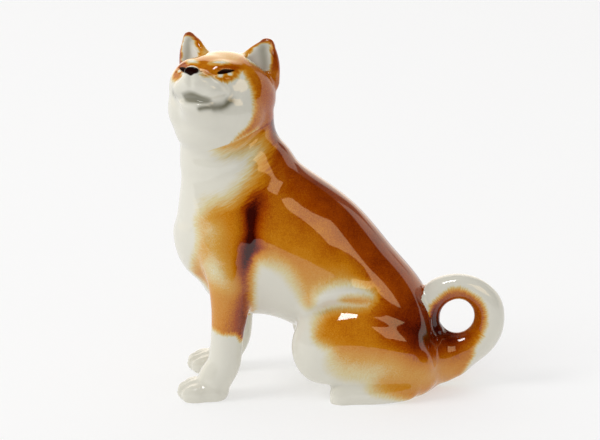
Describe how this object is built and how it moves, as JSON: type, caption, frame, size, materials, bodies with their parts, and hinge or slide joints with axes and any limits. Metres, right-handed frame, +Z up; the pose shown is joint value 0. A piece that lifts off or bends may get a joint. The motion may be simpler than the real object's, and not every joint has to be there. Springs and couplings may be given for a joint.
{
  "type": "seated dog figurine",
  "caption": "Glazed porcelain figurine of a seated spitz dog looking back over its left shoulder with its head up, standing on its feet and seat, with a curled tail.",
  "frame": {"origin": "middle of the bounding box, on the surface that the figure stands on", "axes": "+Z up; the dog sits facing -X, and its left side faces -Y"},
  "size_m": [0.1092, 0.049, 0.1155],
  "materials": {
    "white_glaze": "clear gloss glaze over white porcelain",
    "rust_glaze": "clear gloss glaze over airbrushed rust-brown underglaze colour"
  },
  "bodies": {
    "root": {"torso": "rust_glaze", "head": "white_glaze", "left_ear": "rust_glaze", "right_ear": "rust_glaze", "left_foreleg": "white_glaze", "right_foreleg": "white_glaze", "left_hind_leg": "rust_glaze", "right_hind_leg": "rust_glaze", "tail": "white_glaze"}
  },
  "joints": []
}
